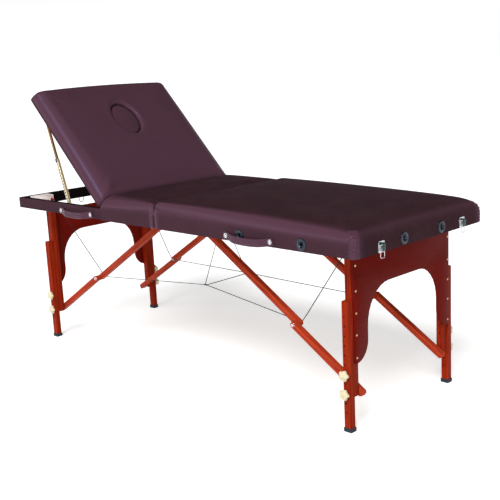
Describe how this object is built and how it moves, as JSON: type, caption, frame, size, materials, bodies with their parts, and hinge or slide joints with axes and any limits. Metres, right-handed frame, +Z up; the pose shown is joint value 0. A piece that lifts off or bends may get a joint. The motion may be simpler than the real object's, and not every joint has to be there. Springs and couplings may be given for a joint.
{
  "type": "folding massage table",
  "caption": "Portable padded treatment couch that folds in half: wooden legs with height holes and folding braces, a raised backrest with a face hole and plug, strap handles.",
  "frame": {"origin": "on the floor under the middle of the fold", "axes": "+X to the foot end, -Y to the side with the carrying handles, +Z up"},
  "size_m": [1.8695, 0.7188, 1.0871],
  "materials": {
    "vinyl_pad": "satin",
    "vinyl_wrap": "satin",
    "stained_beech": "satin",
    "stained_plywood": "gloss",
    "raw_wood": "matte",
    "deck_plywood": "matte",
    "zinc_steel": "satin",
    "chrome_steel": "polished",
    "black_rubber": "matte",
    "cream_plastic": "satin",
    "cable_steel": "satin"
  },
  "bodies": {
    "foot_half": {"foot_frame": "vinyl_wrap", "foot_deck": "deck_plywood", "foot_cushion": "vinyl_pad", "foot_corner_block_near": "raw_wood", "foot_corner_block_far": "raw_wood", "foot_handle": "vinyl_wrap", "latch_plate_near": "chrome_steel", "latch_plate_far": "chrome_steel", "fold_hinge_foot_leaf": "zinc_steel", "brace_cable_foot": "cable_steel"},
    "fold_pin": {"fold_hinge_pin": "zinc_steel"},
    "head_half": {"head_frame": "vinyl_wrap", "head_deck": "deck_plywood", "head_cushion": "vinyl_pad", "head_corner_block_near": "raw_wood", "head_corner_block_far": "raw_wood", "head_handle": "vinyl_wrap", "fold_hinge_head_leaf": "zinc_steel", "backrest_hinge_frame_leaf": "zinc_steel", "brace_cable_head": "cable_steel"},
    "backrest": {"backrest_board": "deck_plywood", "backrest_cushion": "vinyl_pad", "backrest_hinge_board_leaf": "zinc_steel"},
    "face_plug": {"face_plug": "vinyl_pad"},
    "strut_channels": {"strut_channel_near": "zinc_steel", "strut_channel_far": "zinc_steel"},
    "strut_bars": {"strut_bar_near": "zinc_steel", "strut_bar_far": "zinc_steel"},
    "latch_near": {"latch_bail_near": "chrome_steel"},
    "latch_far": {"latch_bail_far": "chrome_steel"},
    "foot_legs": {"foot_leg_near": "stained_beech", "foot_leg_far": "stained_beech", "foot_apron": "stained_plywood"},
    "foot_upper_braces": {"foot_upper_brace_near": "stained_beech", "foot_upper_brace_far": "stained_beech"},
    "foot_lower_braces": {"foot_lower_brace_near": "stained_beech", "foot_lower_brace_far": "stained_beech"},
    "foot_near_extension": {"foot_extension_near": "stained_beech", "foot_foot_near": "black_rubber"},
    "foot_near_lower_knob": {"foot_knob_near_lower": "cream_plastic"},
    "foot_near_upper_knob": {"foot_knob_near_upper": "cream_plastic"},
    "foot_far_extension": {"foot_extension_far": "stained_beech", "foot_foot_far": "black_rubber"},
    "foot_far_lower_knob": {"foot_knob_far_lower": "cream_plastic"},
    "foot_far_upper_knob": {"foot_knob_far_upper": "cream_plastic"},
    "head_legs": {"head_leg_near": "stained_beech", "head_leg_far": "stained_beech", "head_apron": "stained_plywood"},
    "head_upper_braces": {"head_upper_brace_near": "stained_beech", "head_upper_brace_far": "stained_beech"},
    "head_lower_braces": {"head_lower_brace_near": "stained_beech", "head_lower_brace_far": "stained_beech"},
    "head_near_extension": {"head_extension_near": "stained_beech", "head_foot_near": "black_rubber"},
    "head_near_lower_knob": {"head_knob_near_lower": "cream_plastic"},
    "head_near_upper_knob": {"head_knob_near_upper": "cream_plastic"},
    "head_far_extension": {"head_extension_far": "stained_beech", "head_foot_far": "black_rubber"},
    "head_far_lower_knob": {"head_knob_far_lower": "cream_plastic"},
    "head_far_upper_knob": {"head_knob_far_upper": "cream_plastic"}
  },
  "joints": [
    {"name": "foot_half_fold", "type": "hinge", "parent": "fold_pin", "child": "foot_half", "pos_m": [0, 0, 0.582], "axis": [0, 1, 0], "range_deg": [0, 90], "deforming": ["brace_cable_foot"]},
    {"name": "head_half_fold", "type": "hinge", "parent": "fold_pin", "child": "head_half", "pos_m": [0, 0, 0.582], "axis": [0, -1, 0], "range_deg": [0, 90], "deforming": ["brace_cable_head"]},
    {"name": "foot_leg_fold", "type": "hinge", "parent": "foot_half", "child": "foot_legs", "pos_m": [0.828, 0, 0.612], "axis": [0, 1, 0], "range_deg": [0, 90]},
    {"name": "foot_upper_brace_fold", "type": "hinge", "parent": "foot_half", "child": "foot_upper_braces", "pos_m": [0.05, 0, 0.618], "axis": [0, -1, 0], "range_deg": [0, 32.07]},
    {"name": "foot_lower_brace_fold", "type": "hinge", "parent": "foot_legs", "child": "foot_lower_braces", "pos_m": [0.832, 0, 0.128], "axis": [0, 1, 0], "range_deg": [0, 56.11]},
    {"name": "foot_near_leg_height", "type": "slide", "parent": "foot_legs", "child": "foot_near_extension", "axis": [0, 0, 1], "range_m": [-0.128, 0.064]},
    {"name": "foot_near_lower_knob_turn", "type": "hinge", "parent": "foot_legs", "child": "foot_near_lower_knob", "pos_m": [0.832, -0.2903, 0.128], "axis": [0, -1, 0], "continuous": true},
    {"name": "foot_near_upper_knob_turn", "type": "hinge", "parent": "foot_legs", "child": "foot_near_upper_knob", "pos_m": [0.832, -0.2903, 0.192], "axis": [0, -1, 0], "continuous": true},
    {"name": "foot_far_leg_height", "type": "slide", "parent": "foot_legs", "child": "foot_far_extension", "axis": [0, 0, 1], "range_m": [-0.128, 0.064]},
    {"name": "foot_far_lower_knob_turn", "type": "hinge", "parent": "foot_legs", "child": "foot_far_lower_knob", "pos_m": [0.832, 0.2903, 0.128], "axis": [0, 1, 0], "continuous": true},
    {"name": "foot_far_upper_knob_turn", "type": "hinge", "parent": "foot_legs", "child": "foot_far_upper_knob", "pos_m": [0.832, 0.2903, 0.192], "axis": [0, 1, 0], "continuous": true},
    {"name": "head_leg_fold", "type": "hinge", "parent": "head_half", "child": "head_legs", "pos_m": [-0.828, 0, 0.612], "axis": [0, -1, 0], "range_deg": [0, 90]},
    {"name": "head_upper_brace_fold", "type": "hinge", "parent": "head_half", "child": "head_upper_braces", "pos_m": [-0.05, 0, 0.618], "axis": [0, 1, 0], "range_deg": [0, 32.07]},
    {"name": "head_lower_brace_fold", "type": "hinge", "parent": "head_legs", "child": "head_lower_braces", "pos_m": [-0.832, 0, 0.128], "axis": [0, -1, 0], "range_deg": [0, 56.11]},
    {"name": "head_near_leg_height", "type": "slide", "parent": "head_legs", "child": "head_near_extension", "axis": [0, 0, 1], "range_m": [-0.128, 0.064]},
    {"name": "head_near_lower_knob_turn", "type": "hinge", "parent": "head_legs", "child": "head_near_lower_knob", "pos_m": [-0.832, -0.2903, 0.128], "axis": [0, -1, 0], "continuous": true},
    {"name": "head_near_upper_knob_turn", "type": "hinge", "parent": "head_legs", "child": "head_near_upper_knob", "pos_m": [-0.832, -0.2903, 0.192], "axis": [0, -1, 0], "continuous": true},
    {"name": "head_far_leg_height", "type": "slide", "parent": "head_legs", "child": "head_far_extension", "axis": [0, 0, 1], "range_m": [-0.128, 0.064]},
    {"name": "head_far_lower_knob_turn", "type": "hinge", "parent": "head_legs", "child": "head_far_lower_knob", "pos_m": [-0.832, 0.2903, 0.128], "axis": [0, 1, 0], "continuous": true},
    {"name": "head_far_upper_knob_turn", "type": "hinge", "parent": "head_legs", "child": "head_far_upper_knob", "pos_m": [-0.832, 0.2903, 0.192], "axis": [0, 1, 0], "continuous": true},
    {"name": "backrest_recline", "type": "hinge", "parent": "head_half", "child": "backrest", "pos_m": [-0.332, 0, 0.6325], "axis": [0, -1, 0], "range_deg": [0, 45]},
    {"name": "strut_swing", "type": "hinge", "parent": "head_half", "child": "strut_channels", "pos_m": [-0.58, 0, 0.617], "axis": [0, -1, 0], "range_deg": [0, 70.42]},
    {"name": "strut_slide", "type": "slide", "parent": "strut_channels", "child": "strut_bars", "axis": [-0.3194, 0, 0.9476], "range_m": [-0.12464, 0]},
    {"name": "face_plug_lift", "type": "slide", "parent": "backrest", "child": "face_plug", "axis": [0.7071, 0, 0.7071], "range_m": [0, 0.08]},
    {"name": "latch_swing_near", "type": "hinge", "parent": "foot_half", "child": "latch_near", "pos_m": [0.9365, -0.225, 0.602], "axis": [0, -1, 0], "range_deg": [0, 150]},
    {"name": "latch_swing_far", "type": "hinge", "parent": "foot_half", "child": "latch_far", "pos_m": [0.9365, 0.225, 0.602], "axis": [0, -1, 0], "range_deg": [0, 150]}
  ],
  "couplings": [
    {"joint": "foot_leg_fold", "follows": "foot_half_fold", "ratio": 1},
    {"joint": "foot_upper_brace_fold", "follows": "foot_half_fold", "ratio": 0.35635},
    {"joint": "foot_lower_brace_fold", "follows": "foot_half_fold", "ratio": 0.62341},
    {"joint": "head_leg_fold", "follows": "head_half_fold", "ratio": 1},
    {"joint": "head_upper_brace_fold", "follows": "head_half_fold", "ratio": 0.35635},
    {"joint": "head_lower_brace_fold", "follows": "head_half_fold", "ratio": 0.62341},
    {"joint": "strut_swing", "follows": "backrest_recline", "ratio": 1.5649},
    {"joint": "strut_slide", "follows": "backrest_recline", "m_per_rad": -0.1587}
  ]
}
